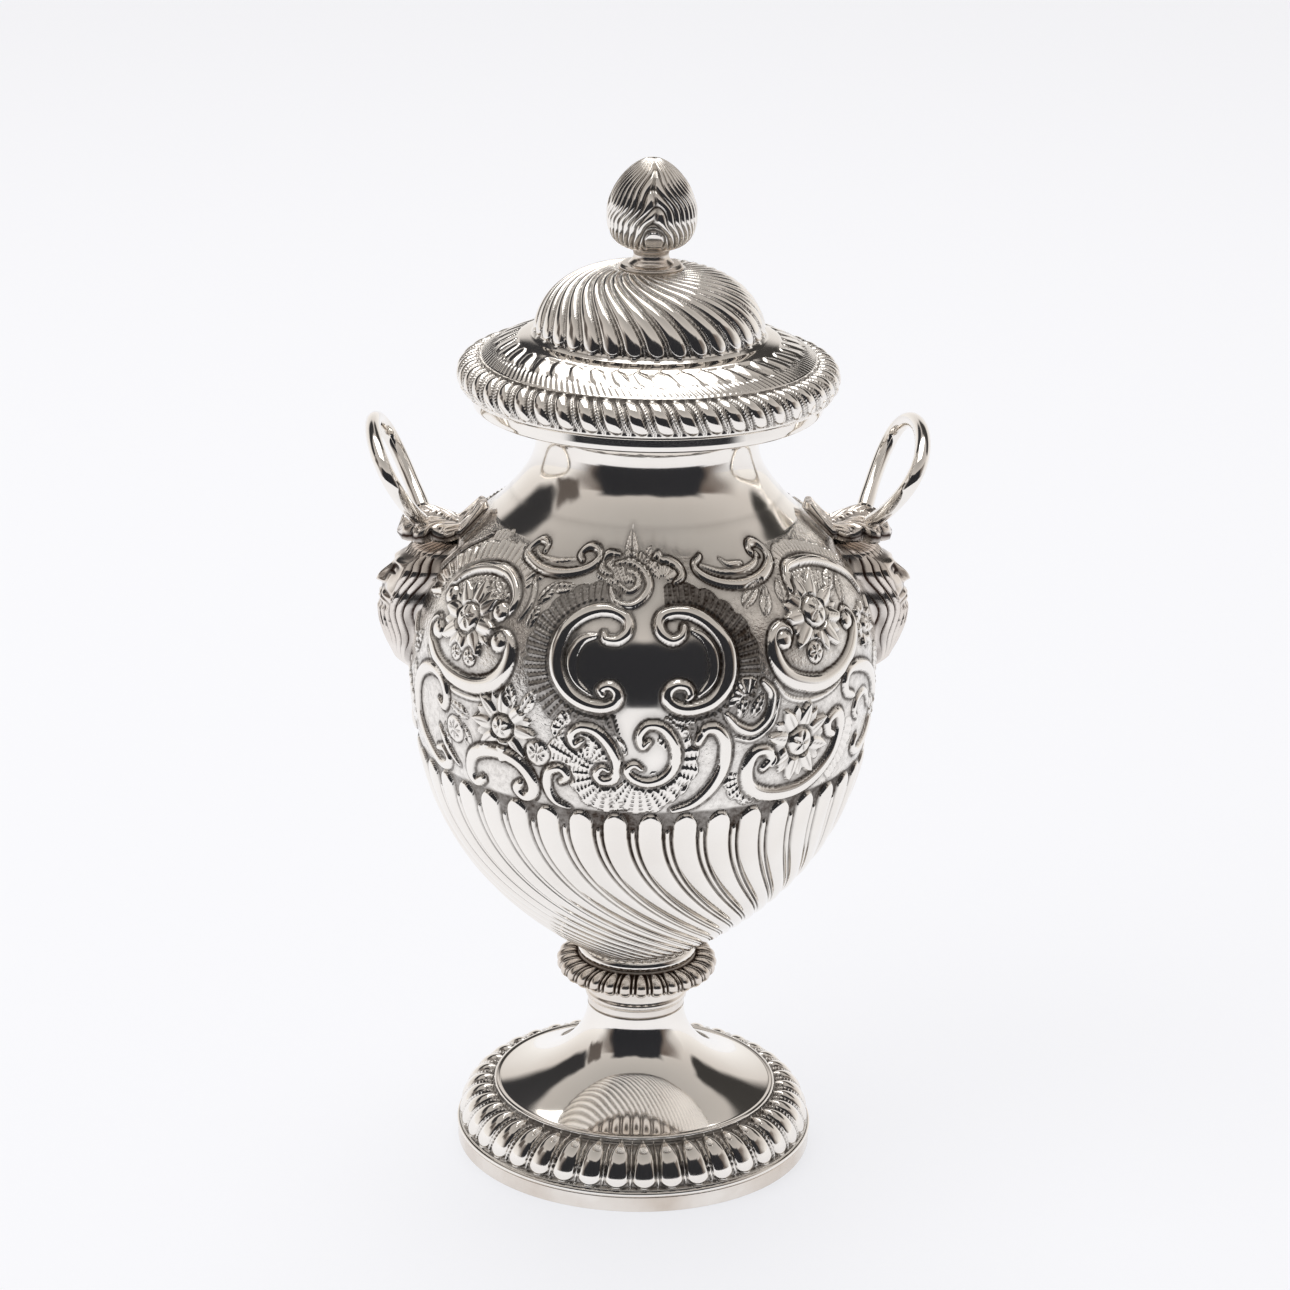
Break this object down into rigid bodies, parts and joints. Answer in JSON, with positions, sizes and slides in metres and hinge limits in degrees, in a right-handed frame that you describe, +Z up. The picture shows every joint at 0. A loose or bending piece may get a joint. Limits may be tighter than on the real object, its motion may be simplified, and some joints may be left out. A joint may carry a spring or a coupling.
{
  "type": "covered sugar bowl",
  "caption": "Urn-shaped covered silver sugar bowl on a pedestal foot, with mask handles and ring loops; the domed cover lifts off to reach the sugar.",
  "frame": {"origin": "centre of the foot's rim, on the plane of the table", "axes": "+Z up through the finial; +X and -X through the two masks; the cartouche faces -Y"},
  "size_m": [0.1072, 0.0914, 0.1999],
  "materials": {
    "silver_polished": "polished silver, slightly warm, with soft hand marks",
    "silver_chased": "chased and lobed silver, polished on the heights and dark brown in the recesses",
    "silver_worn": "worn silver with brownish tarnish",
    "fastener": "dull turned metal, hidden under the cover"
  },
  "bodies": {
    "vase": {"plinth_band": "silver_worn", "plinth_wire": "silver_polished", "foot_border": "silver_chased", "foot_trumpet": "silver_polished", "stem_collar": "silver_polished", "knop": "silver_chased", "stem_dish": "silver_polished", "body_shell": "silver_chased", "mouth_band": "silver_polished", "mask_left": "silver_chased", "mask_right": "silver_chased", "shoulder_leaf_left": "silver_chased", "shoulder_leaf_right": "silver_chased", "handle_loop_left": "silver_polished", "handle_loop_right": "silver_polished"},
    "cover": {"cover_dome": "silver_chased", "cover_border": "silver_chased", "cover_bezel": "silver_polished", "finial_flange": "silver_worn", "finial_neck": "silver_worn", "finial_bud": "silver_chased", "finial_stud": "fastener", "finial_washer": "fastener", "finial_nut": "fastener"}
  },
  "joints": [
    {"name": "cover_lift", "type": "slide", "parent": "vase", "child": "cover", "axis": [0, 0, 1], "range_m": [0, 0.1]}
  ]
}
